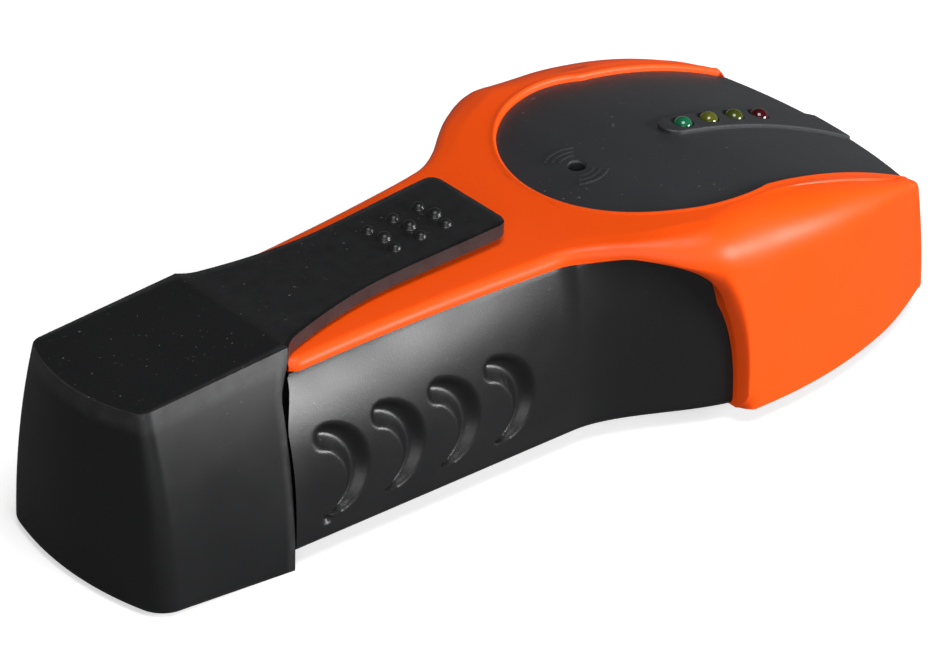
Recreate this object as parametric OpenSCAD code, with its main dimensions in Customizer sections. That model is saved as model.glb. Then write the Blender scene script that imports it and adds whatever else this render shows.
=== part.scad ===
// Handheld stud finder: sensing head in front (+Y), grip in the middle, battery compartment at the tail (-Y).
// The sensing face lies on z = 0 and the origin is under the middle of the body.

/* [Body] */
// Overall length, tail to nose
body_len = 160; // [150:1:170]
// Width of the sensing head
head_w = 64; // [60:1:70]
// Width of the grip at its underside
grip_w = 40; // [38:1:44]
// Height of the tail cover's top at the seam
seam_h = 35.7; // [35:0.1:37]
// Height of the head's rim above the sensing face
rim_h = 37.3; // [36.5:0.1:38.5]
// Pitch of the flat top over the tail and the press tongue, in degrees
top_pitch = 3.6; // [3:0.1:4]
// Wall thickness of the mouldings
wall = 2.2; // [1.8:0.1:2.4]
// Height of the shells' lower edge above the sensing face
edge_h = 3; // [2:0.1:4]

/* [Tail cover] */
// Length of the tail cover at the middle
cover_len = 31; // [29:0.5:33]
// Half width of the cover's top at the seam
cover_top_half = 14; // [13.5:0.1:15]
// Wall thickness of the cover
cover_wall = 1.8; // [1.6:0.1:2]
// How far the tail face bows out
tail_bow = 3.4; // [2:0.1:4]

/* [Press tongue] */
// Length of the tongue in front of the seam
tongue_len = 48; // [44:0.5:50]
// Half width of the tongue at its free end
tongue_half = 9.2; // [8:0.1:10]
// Thickness of the tongue
tongue_t = 2.3; // [2:0.1:2.6]
// Spacing of the grip bumps across the tongue
bump_pitch_x = 3.3; // [3:0.1:3.6]
// Spacing of the grip bumps along the tongue
bump_pitch_y = 5.1; // [4.5:0.1:5.5]

/* [Display] */
// Radius of the panel's round rear edge
panel_r = 23; // [22:0.5:24]
// Half width of the panel in front of its round end
panel_half = 22; // [21:0.5:22.5]
// Thickness of the panel
panel_t = 1.8; // [1.5:0.1:2]
// Radius of an indicator lamp
led_r = 1.5; // [1.5:0.1:1.6]
// Spacing of the indicator lamps
led_pitch = 5.6; // [5:0.1:6]

/* [Battery] */
// Width, length and height of the block battery
battery_size = [26, 46.4, 17]; // [15:0.1:50]

/* [Hidden] */
$fn = 48;
far = 200;

rear_y = -body_len / 2;
nose_y = body_len / 2;
seam_y = rear_y + cover_len;
head_half = head_w / 2;
grip_half = grip_w / 2;
pitch = tan(top_pitch);

// Neck: where the head's outline starts to flare, its widest place and how fast the nose tapers
flare_y = 2;
flare_len = 25;
widest_y = 36;
nose_taper = 0.0058;
nose_bow = 3;
corner_y = nose_y - nose_bow;

// Arched border between the orange top and the black grip, as a quarter ellipse
arch_y = 7;
arch_len = 24;
arch_low = 13;
arch_rise = 20;

function ramp(t) = t < 0 ? 0 : t > 1 ? 1 : t * t * (3 - 2 * t);
function strip_half(y) = 14.2 + 2.5 * pow((y - seam_y) / 46, 2);
function flare(y) = ramp((y - flare_y) / flare_len);
function top_half(y) = y < widest_y
    ? strip_half(y) + (head_half - strip_half(y)) * flare(y)
    : head_half - nose_taper * pow(y - widest_y, 2);
function base_half(y) = grip_half + (head_half - grip_half) * ramp((y - 5) / 31);
function roof_rear(y) = 32.9 + 0.04 * (y - seam_y);
function roof(y) = y < 24
    ? roof_rear(y) + (rim_h - roof_rear(24)) * ramp((y + 3) / 27)
    : y < 30 ? rim_h : rim_h - 0.0057 * pow(y - 30, 2);
function border(y) = 31 + 0.0357 * (y - seam_y);
function deck(y) = seam_h + pitch * (y - seam_y);

// Half width of the grip's section at a share t of its height
function grip_side(low, high, t) = high + (low - high) * (1 - pow(t, 2.2));

function mirrored(points) = concat(points, [for (i = [len(points) - 1 : -1 : 0]) [-points[i][0], points[i][1]]]);

// Plan outline of the head and its strip over the grip, drawn in by a wall of thickness t
module top_plan(t = 0, rear = seam_y) {
    sides = [for (i = [0 : 40]) let (y = rear + (corner_y - t - rear) * i / 40) [top_half(y) - t, y]];
    end_x = top_half(corner_y) - t;
    bow = [for (i = [1 : 8]) let (x = end_x * (1 - i / 8)) [x, nose_y - t - nose_bow * pow(x / end_x, 2)]];
    polygon(mirrored(concat(sides, bow)));
}

// Solid that follows the roof line, lowered by drop, from y0 to y1 and down below the body
module under_roof(drop, y0, y1, lean = 0) {
    line = [for (i = [0 : 40]) let (y = y0 + (y1 - y0) * i / 40) [y, roof(y) - drop]];
    rotate([90, 0, 90]) {
        linear_extrude(far, center = true) {
            polygon(concat([[y0, -1]], line, [[y1 + lean, 8], [y1 + lean, -1]]));
        }
    }
}

// Region of the black grip seen from the side, grown by a clearance
module grip_region(grow = 0) {
    arc = [for (i = [0 : 16]) let (a = 90 * i / 16)
        [arch_y + (arch_len + grow) * cos(a), arch_low + (arch_rise + grow) * sin(a)]];
    rear = seam_y - 20;
    rotate([90, 0, 90]) {
        linear_extrude(far, center = true) {
            polygon(concat([[rear, -far], [arch_y + arch_len + grow, -far]], arc, [[rear, border(rear) + grow]]));
        }
    }
}

// Cross-section of the grip at y, drawn in by t
module grip_section(y, t = 0) {
    low = base_half(y) - t;
    high = min(top_half(y) - 0.3, base_half(y) - 0.2) - t;
    top = 34;
    side = [for (i = [0 : 12]) [grip_side(low, high, i / 12), edge_h + (top - edge_h) * i / 12]];
    polygon(mirrored(side));
}

module grip_slice(place, y, t, length = 0.1) {
    translate([0, place, 0]) {
        rotate([90, 0, 0]) {
            linear_extrude(length) {
                grip_section(y, t);
            }
        }
    }
}

// Body of the grip: straight behind straight_y, then joined slices that follow its flare
module grip_solid(t = 0) {
    straight_y = -8;
    middle_y = 19;
    grip_slice(straight_y, -20, t, straight_y - seam_y - 0.4);
    hull() {
        grip_slice(straight_y, -20, t);
        grip_slice(middle_y, middle_y, t);
    }
    hull() {
        grip_slice(middle_y, middle_y, t);
        grip_slice(arch_y + arch_len, arch_y + arch_len, t);
    }
}

// Plan outline of the raised sensing plate under the body
module plate_plan() {
    sides = [for (i = [0 : 24]) let (y = plate_rear + (plate_front - plate_rear) * i / 24) [plate_half(y), y]];
    polygon(mirrored(sides));
}

function plate_half(y) = (y < widest_y ? base_half(y) : top_half(y)) - 6;

// Cross-section of the tail cover at the seam, drawn in by t
module cover_section(t = 0, low_z = 0, top_z = seam_h) {
    slope = (grip_half - cover_top_half) / seam_h;
    polygon([[grip_half - t - slope * low_z, low_z], [cover_top_half - t + slope * (seam_h - top_z), top_z],
        [-cover_top_half + t - slope * (seam_h - top_z), top_z], [-grip_half + t + slope * low_z, low_z]]);
}

plate_rear = -24;
plate_front = 72;

collar_gap = 0.55;
collar_t = 1.2;
collar_len = 6;
collar_in = cover_wall + collar_gap;
floor_t = 1.6;

board_z = 21;
board_t = 1.6;
board_top = board_z + board_t;

screw_places = [[24.2, 40], [-24.2, 40], [0, 72.5], [11.2, -15], [-11.2, -15]];
post_places = [[17, 23], [-17, 23], [16, 62], [-16, 62]];
screw_r = 1.2;
screw_head_r = 2.4;
screw_seat_z = 3;

label_size = [22, 34];
label_y = -4;
groove_pitch = 11.1;
groove_depth = 2.6;

press_y = -14;
plunger_r = 3;
plunger_top = deck(press_y - plunger_r) - tongue_t - 0.15;
stem_r = 1.7;

// Lower shell: floor, grip sides, sensing plate, board posts and the collar that carries the tail cover
module base_housing() {
    color([0.15, 0.15, 0.16]) {
        difference() {
            union() {
                intersection() {
                    grip_solid();
                    grip_region();
                }
                translate([0, 0, edge_h]) {
                    linear_extrude(floor_t + 0.4) {
                        intersection() {
                            top_plan(wall + 0.2, 20);
                            translate([-far / 2, 25]) {
                                square([far, far]);
                            }
                        }
                    }
                }
                linear_extrude(edge_h + 0.5) {
                    plate_plan();
                }
                translate([0, seam_y + 1, 0]) {
                    rotate([90, 0, 0]) {
                        linear_extrude(collar_len + 1) {
                            cover_section(collar_in, edge_h, 31);
                        }
                    }
                }
            }
            grip_cavity();
            bay();
            for (p = screw_places) {
                translate([p[0], p[1], -1]) {
                    cylinder(r = screw_head_r + 0.3, h = screw_seat_z + 1);
                    cylinder(r = screw_r + 0.3, h = 12);
                }
            }
            finger_grooves();
            translate([-label_size[0] / 2 - 0.3, label_y - 0.3, -1]) {
                cube([label_size[0] + 0.6, label_size[1] + 0.6, 1.2]);
            }
        }
        for (p = post_places) {
            translate([p[0], p[1], edge_h + floor_t]) {
                difference() {
                    cylinder(r = 2.6, h = board_z - edge_h - floor_t);
                    translate([0, 0, board_z - edge_h - floor_t - 8]) {
                        cylinder(r = 0.9, h = 20);
                    }
                }
            }
        }
    }
}

// Space inside the grip in front of the battery bay
module grip_cavity() {
    difference() {
        grip_solid(wall);
        cube([far, far, 2 * (edge_h + floor_t)], center = true);
    }
    translate([0, arch_y + arch_len - 0.5, edge_h + floor_t]) {
        linear_extrude(far) {
            square([2 * (base_half(30) - wall) - 1, 4], center = true);
        }
    }
}

// Space for the battery, open at the tail
module bay() {
    front = -20;
    translate([0, front, 0]) {
        rotate([90, 0, 0]) {
            linear_extrude(far) {
                intersection() {
                    cover_section(collar_in + collar_t, edge_h + floor_t, 29.5);
                    translate([-far / 2, 0]) {
                        square([far, far]);
                    }
                }
            }
        }
    }
}

// Crescent finger grooves in both sides of the grip
module finger_grooves() {
    for (side = [-1, 1]) {
        for (i = [0 : 3]) {
            translate([side * (grip_half + 1), seam_y + 4.6 + groove_pitch * i, 13.8]) {
                rotate([90, 0, 90]) {
                    linear_extrude(2 * groove_depth, center = true) {
                        crescent(8.4);
                    }
                }
            }
        }
    }
}

// Crescent that opens towards the tail
module crescent(r) {
    difference() {
        circle(r = r);
        translate([-0.22 * r, 0]) {
            circle(r = 0.86 * r);
        }
        translate([-2 * r, -r]) {
            square([1.9 * r, 2 * r]);
        }
    }
}

// Upper shell: strip over the grip, rim around the panel and the head's side walls
module top_housing() {
    color([1, 0.36, 0.08]) {
        difference() {
            intersection() {
                translate([0, 0, edge_h]) {
                    linear_extrude(far) {
                        top_plan(0, seam_y + 0.4);
                    }
                }
                under_roof(0, seam_y, 75.5, 4.5);
            }
            grip_region(0.1);
            intersection() {
                linear_extrude(far) {
                    top_plan(wall, 10);
                }
                under_roof(panel_t + 2.6, 10, 73.6, 4.2);
            }
            panel_recess();
            translate([0, press_y, 0]) {
                cylinder(r = plunger_r + 0.05, h = far);
            }
        }
        bosses();
    }
}

module panel_recess() {
    difference() {
        translate([0, 0, edge_h]) {
            linear_extrude(far) {
                panel_plan(0.1, 20);
            }
        }
        under_roof(panel_t + 1.05, seam_y, nose_y + 2);
    }
    linear_extrude(far) {
        panel_plan(-2, -2);
    }
}

// Screw bosses that hang from the upper shell down to the floor
module bosses() {
    for (p = screw_places) {
        rise = p[1] > 70 ? roof(p[1] + 3) - panel_t - 1.2 : p[1] < 0 ? roof(p[1]) - 1 : roof(p[1]) - 2;
        low = edge_h + floor_t + 0.6;
        translate([p[0], p[1], low]) {
            difference() {
                cylinder(r = 2.8, h = rise - low);
                translate([0, 0, -1]) {
                    cylinder(r = screw_r + 0.05, h = 11);
                }
            }
        }
    }
}

panel_mid_y = 34.6;
panel_front = 73;
panel_bow = 3;

// Plan outline of the display panel: a round rear end, straight sides and a bowed front
module panel_plan(grow = 0, ahead = 0) {
    r = panel_r + grow;
    half = panel_half + grow;
    start = acos(half / r);
    arc = [for (i = [0 : 24]) let (a = -90 + (90 + start) * i / 24) [r * cos(a), panel_mid_y + r * sin(a)]];
    front = [for (i = [0 : 8]) let (x = half * (1 - i / 8)) [x, panel_front + ahead + panel_bow * (1 - pow(x / half, 2))]];
    polygon(mirrored(concat([[0.01, panel_mid_y - r]], [for (i = [1 : 24]) arc[i]], front)));
}

module panel_skin(drop, plan_grow = 0) {
    intersection() {
        linear_extrude(far) {
            panel_plan(plan_grow);
        }
        difference() {
            under_roof(drop, 0, nose_y);
            under_roof(drop + panel_t, -1, nose_y + 1);
        }
    }
}

led_places = [for (i = [0 : 3]) 43.6 + led_pitch * i];
buzzer_y = 21;
rib_h = 0.7;
function led_base(y) = roof(y) - 1 + rib_h + 0.9 - 5.2;

// Raised wedge that widens from the lamps to the nose
module panel_rib() {
    intersection() {
        linear_extrude(far) {
            hull() {
                translate([0, 41]) {
                    circle(r = 2.3);
                }
                translate([-5, panel_front + panel_bow - 1.2]) {
                    square([10, 1]);
                }
            }
        }
        difference() {
            under_roof(1 - rib_h, 0, nose_y);
            under_roof(1 + panel_t / 2, -1, nose_y + 1);
        }
    }
}

module display_panel() {
    color([0.22, 0.22, 0.23]) {
        difference() {
            union() {
                panel_skin(1);
                panel_rib();
            }
            for (y = led_places) {
                translate([0, y, 0]) {
                    cylinder(r = led_r + 0.05, h = far);
                }
            }
            translate([0, buzzer_y, 0]) {
                cylinder(r = 1.45, h = far);
            }
        }
    }
}

// Round-topped lamp with its flange below the panel
module led(y) {
    translate([0, y, led_base(y)]) {
        rotate_extrude() {
            intersection() {
                union() {
                    square([led_r + 0.4, 1]);
                    square([led_r, 5.2 - led_r]);
                    translate([0, 5.2 - led_r]) {
                        circle(r = led_r);
                    }
                }
                square([far, far]);
            }
        }
    }
}

module led_green() {
    color([0.1, 0.45, 0.3]) led(led_places[0]);
}

module led_yellow() {
    color([0.5, 0.5, 0.12]) led(led_places[1]);
}

module led_lime() {
    color([0.45, 0.5, 0.15]) led(led_places[2]);
}

module led_red() {
    color([0.45, 0.06, 0.12]) led(led_places[3]);
}

module led_leads() {
    color([0.75, 0.75, 0.77]) {
        for (y = led_places) {
            for (x = [-1.27 / 2, 1.27 / 2]) {
                translate([x - 0.2, y - 0.2, board_top]) {
                    cube([0.4, 0.4, led_base(y) - board_top]);
                }
            }
        }
    }
}

// Outline of the cover in plan at one height, with rounded tail corners; it runs on past the seam
module cover_plan(front_half, rear_half, corner, t = 0) {
    hull() {
        translate([t - front_half, seam_y]) {
            square([2 * (front_half - t), 2]);
        }
        for (side = [-1, 1]) {
            translate([side * (rear_half - corner), rear_y + tail_bow + corner]) {
                circle(r = max(corner - t, 0.6), $fn = 32);
            }
        }
        translate([0, rear_y + t + 4]) {
            resize([2 * (rear_half - corner), 8]) {
                circle(r = 4, $fn = 32);
            }
        }
    }
}

module cover_solid(t = 0) {
    hull() {
        translate([0, 0, t]) {
            linear_extrude(0.2) {
                cover_plan(grip_half - 1, grip_half - 2, 5, t);
            }
        }
        translate([0, 0, t + 1.2]) {
            linear_extrude(0.2) {
                cover_plan(grip_half, grip_half - 1, 5, t);
            }
        }
        rotate([top_pitch, 0, 0]) {
            translate([0, deck_at_origin() * sin(top_pitch), deck_at_origin() * cos(top_pitch) - t - 0.2]) {
                linear_extrude(0.2) {
                    cover_plan(cover_top_half, cover_top_half - 0.6, 2.4, t);
                }
            }
        }
    }
}

function deck_at_origin() = seam_h - pitch * seam_y;

// Tail cover: a cup that slips over the collar
module battery_cover() {
    color([0.13, 0.13, 0.14]) {
        difference() {
            cover_solid();
            cover_solid(cover_wall);
            translate([-far / 2, seam_y, -far / 2]) {
                cube([far, far, far]);
            }
            translate([0, seam_y + 1, 0]) {
                rotate([90, 0, 0]) {
                    linear_extrude(3) {
                        cover_section(cover_wall, cover_wall, seam_h - tongue_t - 0.2);
                    }
                }
            }
        }
    }
}

// Springy tongue in front of the cover, with nine grip bumps on its thumb pad
module press_tongue() {
    color([0.12, 0.12, 0.13]) {
        rotate([top_pitch, 0, 0]) {
            translate([0, deck_at_origin() * sin(top_pitch), deck_at_origin() * cos(top_pitch) - tongue_t]) {
                linear_extrude(tongue_t) {
                    tongue_plan();
                }
            }
        }
        for (i = [-1 : 1]) {
            for (j = [-1 : 1]) {
                y = press_y + bump_pitch_y * j + (i == 0 ? 0.5 : 0);
                r = i == 0 ? 1.25 : 0.95;
                translate([bump_pitch_x * i, y, deck(y) - 0.3]) {
                    sphere(r = r, $fn = 24);
                }
            }
        }
    }
}

module tongue_plan() {
    root = seam_y + 0.25;
    end = seam_y + tongue_len;
    waist = tongue_half - 0.6;
    shoulder = [for (i = [0 : 10]) let (a = 90 * i / 10)
        [waist + (cover_top_half - waist) * (1 - sin(a)), root + 12 * (1 - cos(a))]];
    tip = [for (i = [0 : 6]) let (a = 90 * i / 6) [tongue_half - 1 + cos(a), end - 1 + sin(a)]];
    polygon(mirrored(concat(shoulder, tip)));
}

module switch_plunger() {
    color([0.85, 0.85, 0.82]) {
        low = board_top + 5;
        flange_z = border(press_y) - 1.5;
        translate([0, press_y, low]) {
            cylinder(r = 1.5, h = flange_z - low);
        }
        translate([0, press_y, flange_z]) {
            cylinder(r = plunger_r + 1.1, h = 1.2);
            cylinder(r = plunger_r, h = plunger_top - flange_z);
        }
    }
}

module switch_stem() {
    color([0.1, 0.1, 0.1]) {
        translate([0, press_y, board_top + 2.4]) {
            cylinder(r = stem_r, h = 2.6);
        }
    }
}

module switch_body() {
    color([0.3, 0.3, 0.32]) {
        difference() {
            translate([-3, press_y - 3, board_top]) {
                cube([6, 6, 3.6]);
            }
            translate([0, press_y, board_top + 1.6]) {
                cylinder(r = stem_r + 0.05, h = 4);
            }
        }
    }
}

module circuit_board() {
    color([0.05, 0.35, 0.2]) {
        difference() {
            translate([0, 0, board_z]) {
                linear_extrude(board_t) {
                    translate([-21, 19]) {
                        square([42, 48.5]);
                    }
                    translate([-7.5, -20.5]) {
                        square([15, 40]);
                    }
                }
            }
            for (p = post_places) {
                translate([p[0], p[1], board_z - 1]) {
                    cylinder(r = 1.1, h = 4);
                }
            }
        }
    }
}

module board_screws() {
    color([0.7, 0.7, 0.72]) {
        for (p = post_places) {
            translate([p[0], p[1], board_z - 6]) {
                cylinder(r = 0.85, h = 6 + board_t + 0.5);
                translate([0, 0, 6 + board_t]) {
                    screw_head(2.1, 1.3);
                }
            }
        }
    }
}

// Domed head with a cross recess
module screw_head(r, h) {
    difference() {
        intersection() {
            cylinder(r = r, h = h);
            translate([0, 0, h - 2 * r]) {
                sphere(r = 2 * r);
            }
        }
        for (a = [0, 90]) {
            rotate([0, 0, a]) {
                translate([-r * 0.55, -0.22, h * 0.45]) {
                    cube([r * 1.1, 0.44, h]);
                }
            }
        }
    }
}

module housing_screws() {
    color([0.35, 0.35, 0.37]) {
        for (p = screw_places) {
            translate([p[0], p[1], screw_seat_z]) {
                cylinder(r = screw_r, h = 10);
                rotate([180, 0, 0]) {
                    screw_head(screw_head_r, 1.7);
                }
            }
        }
    }
}

module buzzer() {
    color([0.08, 0.08, 0.09]) {
        difference() {
            translate([0, buzzer_y, board_top]) {
                cylinder(r = 6, h = 6.5);
            }
            translate([0, buzzer_y, board_top + 4.5]) {
                cylinder(r = 1.2, h = 4);
            }
        }
    }
}

chip_place = [-12, 36];

module controller_chip() {
    color([0.1, 0.1, 0.11]) {
        translate([chip_place[0] - 3.1, chip_place[1] - 9, board_top + 0.6]) {
            cube([6.2, 18, 3.2]);
        }
    }
}

module chip_legs() {
    color([0.75, 0.75, 0.77]) {
        for (side = [-1, 1]) {
            for (i = [0 : 6]) {
                translate([chip_place[0] + side * 3.5 - 0.4, chip_place[1] - 7.87 + 2.54 * i, board_top]) {
                    cube([0.8, 0.5, 2.4]);
                }
            }
        }
    }
}

module capacitors() {
    color([0.12, 0.14, 0.3]) {
        for (p = [[13, 30, 3, 6.5], [13, 40, 2.5, 6], [-13, 55, 2, 4.5]]) {
            translate([p[0], p[1], board_top]) {
                cylinder(r = p[2], h = p[3]);
            }
        }
    }
}

module resistors() {
    color([0.75, 0.62, 0.42]) {
        for (i = [0 : 4]) {
            translate([6.5, 46 + 3.2 * i, board_top + 1.1]) {
                rotate([0, 90, 0]) {
                    cylinder(r = 0.9, h = 5.6);
                }
            }
        }
    }
}

module regulator() {
    color([0.12, 0.12, 0.13]) {
        translate([0, 5, board_top]) {
            intersection() {
                cylinder(r = 2.3, h = 4.6);
                translate([-3, -1.4, 0]) {
                    cube([6, 5, 5]);
                }
            }
        }
    }
}

sensor_y = 20;
sensor_z = edge_h + floor_t + 0.45;
sensor_top = sensor_z + 1.2;

module sensor_board() {
    color([0.1, 0.3, 0.16]) {
        translate([-13, sensor_y, sensor_z]) {
            cube([26, 46, 1.2]);
        }
    }
}

module sensor_plates() {
    color([0.8, 0.5, 0.25]) {
        for (x = [-8.3, 0, 8.3]) {
            translate([x - 3.6, sensor_y + 2, sensor_top]) {
                cube([7.2, 38, 0.15]);
            }
        }
    }
}

module header_pins() {
    color([0.8, 0.7, 0.3]) {
        for (i = [-2 : 2]) {
            translate([2.54 * i - 0.32, sensor_y + 42.5, sensor_top]) {
                cube([0.64, 0.64, board_z - sensor_top]);
            }
        }
    }
}

battery_front = -26.2;
battery_low = edge_h + floor_t + 0.25;
terminal_z = battery_low + battery_size[2] / 2;
terminal_x = 6.35;

module battery_case() {
    color([0.16, 0.17, 0.2]) {
        translate([0, battery_front, battery_low + battery_size[2] / 2]) {
            rotate([90, 0, 0]) {
                linear_extrude(battery_size[1]) {
                    rounded_block([battery_size[0], battery_size[2]], 2.2);
                }
            }
        }
    }
}

module rounded_block(size, r) {
    square([size[0] - 2 * r, size[1]], center = true);
    square([size[0], size[1] - 2 * r], center = true);
    for (x = [-1, 1]) {
        for (y = [-1, 1]) {
            translate([x * (size[0] / 2 - r), y * (size[1] / 2 - r)]) {
                circle(r = r);
            }
        }
    }
}

module battery_terminals() {
    color([0.8, 0.8, 0.82]) {
        for (p = [[-terminal_x, 2.8], [terminal_x, 3.9]]) {
            translate([p[0], battery_front, terminal_z]) {
                rotate([-90, 0, 0]) {
                    cylinder(r = p[1], h = 2.5);
                }
            }
        }
    }
}

snap_back = battery_front + 0.4;

module snap_connector() {
    color([0.08, 0.08, 0.08]) {
        difference() {
            translate([-12, snap_back, terminal_z - 6]) {
                cube([24, 4.4, 12]);
            }
            for (p = [[-terminal_x, 3.6], [terminal_x, 4.7]]) {
                translate([p[0], snap_back - 1, terminal_z]) {
                    rotate([-90, 0, 0]) {
                        cylinder(r = p[1], h = 3.6);
                    }
                }
            }
        }
    }
}

module snap_contacts() {
    color([0.85, 0.78, 0.5]) {
        for (p = [[-terminal_x, 2.85, 3.55], [terminal_x, 3.95, 4.65]]) {
            translate([p[0], snap_back, terminal_z]) {
                rotate([-90, 0, 0]) {
                    difference() {
                        cylinder(r = p[2], h = 2.55);
                        translate([0, 0, -1]) {
                            cylinder(r = p[1], h = 3.3);
                        }
                    }
                }
            }
        }
    }
}

// One battery wire: up from the snap connector and over an arch down into the board
module wire(x) {
    r = 0.75;
    up_y = snap_back + 3.2;
    down_y = -18.5;
    bend = (down_y - up_y) / 2;
    translate([x, up_y, terminal_z + 6.02]) {
        cylinder(r = r, h = board_top + 4 - terminal_z - 6.02);
    }
    translate([x, up_y + bend, board_top + 4]) {
        rotate([90, 0, 90]) {
            rotate_extrude(angle = 180) {
                translate([bend, 0]) {
                    circle(r = r);
                }
            }
        }
    }
    translate([x, down_y, board_top + 0.05]) {
        cylinder(r = r, h = 3.95);
    }
}

module positive_wire() {
    color([0.75, 0.06, 0.05]) wire(-4);
}

module negative_wire() {
    color([0.05, 0.05, 0.05]) wire(4);
}

module battery_pad() {
    color([0.2, 0.2, 0.2]) {
        translate([-5, rear_y + cover_wall + 0.5, battery_low + 3]) {
            cube([10, battery_front - battery_size[1] - 0.4 - rear_y - cover_wall - 0.5, 11]);
        }
    }
}

module rating_label() {
    color([0.75, 0.75, 0.74]) {
        translate([-label_size[0] / 2, label_y, 0.05]) {
            cube([label_size[0], label_size[1], 0.14]);
        }
    }
}

base_housing();
top_housing();
display_panel();
led_green();
led_yellow();
led_lime();
led_red();
led_leads();
battery_cover();
press_tongue();
switch_plunger();
switch_stem();
switch_body();
circuit_board();
board_screws();
housing_screws();
buzzer();
controller_chip();
chip_legs();
capacitors();
resistors();
regulator();
header_pins();
sensor_board();
sensor_plates();
battery_case();
battery_terminals();
snap_connector();
snap_contacts();
positive_wire();
negative_wire();
battery_pad();
rating_label();
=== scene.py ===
import math
import bpy
import bmesh
from mathutils import Matrix, Vector


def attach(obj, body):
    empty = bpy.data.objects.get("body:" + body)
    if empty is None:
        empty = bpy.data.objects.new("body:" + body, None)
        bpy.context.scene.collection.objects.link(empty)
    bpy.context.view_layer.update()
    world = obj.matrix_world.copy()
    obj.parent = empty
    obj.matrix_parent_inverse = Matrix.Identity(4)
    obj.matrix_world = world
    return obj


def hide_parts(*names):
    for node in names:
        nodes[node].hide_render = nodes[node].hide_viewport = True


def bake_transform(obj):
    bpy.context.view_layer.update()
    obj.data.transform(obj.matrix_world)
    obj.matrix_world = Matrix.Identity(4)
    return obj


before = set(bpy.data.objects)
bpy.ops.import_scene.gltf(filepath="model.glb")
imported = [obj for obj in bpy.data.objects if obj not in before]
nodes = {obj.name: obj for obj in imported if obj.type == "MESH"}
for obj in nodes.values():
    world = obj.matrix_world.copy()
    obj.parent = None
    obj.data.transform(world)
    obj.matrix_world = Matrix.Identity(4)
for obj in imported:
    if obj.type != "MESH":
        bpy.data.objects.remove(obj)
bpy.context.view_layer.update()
bpy.context.scene.view_settings.view_transform = "Standard"

# Sizes are in millimetres while a piece is shaped, and addPiece turns them into metres.
body = {
    "seamY": -49.0,        # where the tail cover meets the grip
    "noseY": 80.0,
    "headHalf": 32.0,
    "widestY": 36.0,
    "gripHalf": 20.0,
    "archHalf": 29.5,      # half width of the black grip at the front of its arch
    "rimHeight": 37.3,
    "edgeHeight": 3.0,     # lower edge of both shells
}


# outline shared by the shells

def smoothStep(t):
    t = min(max(t, 0.0), 1.0)
    return t * t * (3 - 2 * t)


def mix(a, b, t):
    return a + (b - a) * t


def stripHalf(y):
    return 14.2 + 2.5 * ((y - body["seamY"]) / 46) ** 2


def topHalf(y):
    if y < body["widestY"]:
        return mix(stripHalf(y), body["headHalf"], smoothStep((y - 2) / 25))
    return body["headHalf"] - 0.0058 * (y - body["widestY"]) ** 2


def baseHalf(y):
    return mix(body["gripHalf"], body["archHalf"], smoothStep((y - 5) / 30))


def roofHeight(y):
    rear = 32.9 + 0.04 * (min(y, 24) - body["seamY"])
    if y < 24:
        return rear + (body["rimHeight"] - 35.82) * smoothStep((y + 3) / 27)
    return body["rimHeight"] - 0.0057 * max(y - 30, 0) ** 2


def borderHeight(y):
    return 31 + 0.0357 * (y - body["seamY"])


def deckHeight(y):
    return 35.7 + 0.0629 * (y - body["seamY"])


# mesh helpers

def gridPatch(bm, across, along, place):
    made = bmesh.ops.create_grid(bm, x_segments=across, y_segments=along, size=0.5)
    for vert in made["verts"]:
        vert.co = place(vert.co.x + 0.5, vert.co.y + 0.5)
    return made["verts"]


def blockGrid(bm, cuts):
    bmesh.ops.create_cube(bm, size=2)
    bmesh.ops.subdivide_edges(bm, edges=bm.edges[:], cuts=cuts, use_grid_fill=True)


def mirrorHalf(bm, gap=0.004):
    bmesh.ops.mirror(bm, geom=bm.verts[:] + bm.edges[:] + bm.faces[:], axis="X", merge_dist=gap)
    bmesh.ops.remove_doubles(bm, verts=bm.verts[:], dist=gap)
    bmesh.ops.dissolve_degenerate(bm, edges=bm.edges[:], dist=0.0005)


def faceOutwards(bm):
    bmesh.ops.recalc_face_normals(bm, faces=bm.faces[:])


def turned(bm, profile, steps=32, place=(0, 0, 0)):
    # profile holds (radius, height) pairs, spun once round the upright axis
    before = set(bm.verts)
    verts = [bm.verts.new((r, 0, z)) for r, z in profile]
    edges = [bm.edges.new(pair) for pair in zip(verts, verts[1:])]
    bmesh.ops.spin(bm, geom=verts + edges, cent=(0, 0, 0), axis=(0, 0, 1), angle=math.tau, steps=steps,
                   use_merge=True)
    fresh = [v for v in bm.verts if v not in before]
    bmesh.ops.remove_doubles(bm, verts=fresh, dist=0.0005)
    fresh = [v for v in bm.verts if v not in before]
    bmesh.ops.recalc_face_normals(bm, faces=list({f for v in fresh for f in v.link_faces}))
    bmesh.ops.translate(bm, vec=place, verts=fresh)
    return fresh


def toMetres(bm):
    bmesh.ops.scale(bm, vec=(0.001, 0.001, 0.001), verts=bm.verts[:])


def addPiece(name, bm, materials, sharpAngle=40):
    toMetres(bm)
    mesh = bpy.data.meshes.new(name)
    bm.to_mesh(mesh)
    bm.free()
    for material in materials:
        mesh.materials.append(material)
    mesh.shade_smooth()
    mesh.set_sharp_from_angle(angle=math.radians(sharpAngle))
    piece = bpy.data.objects.new(name, mesh)
    bpy.context.collection.objects.link(piece)
    return piece


def applyModifiers(piece):
    bpy.context.view_layer.update()
    shown = piece.evaluated_get(bpy.context.evaluated_depsgraph_get())
    mesh = bpy.data.meshes.new_from_object(shown)
    piece.modifiers.clear()
    piece.data = mesh


def rounded(piece, width, segments=3, angle=30):
    bevel = piece.modifiers.new("edges", "BEVEL")
    bevel.width = width * 0.001
    bevel.segments = segments
    bevel.limit_method = "ANGLE"
    bevel.angle_limit = math.radians(angle)


def combine(piece, other, operation):
    step = piece.modifiers.new("combined", "BOOLEAN")
    step.object = other
    step.operation = operation
    step.solver = "EXACT"
    applyModifiers(piece)
    bpy.data.objects.remove(other)


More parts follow.
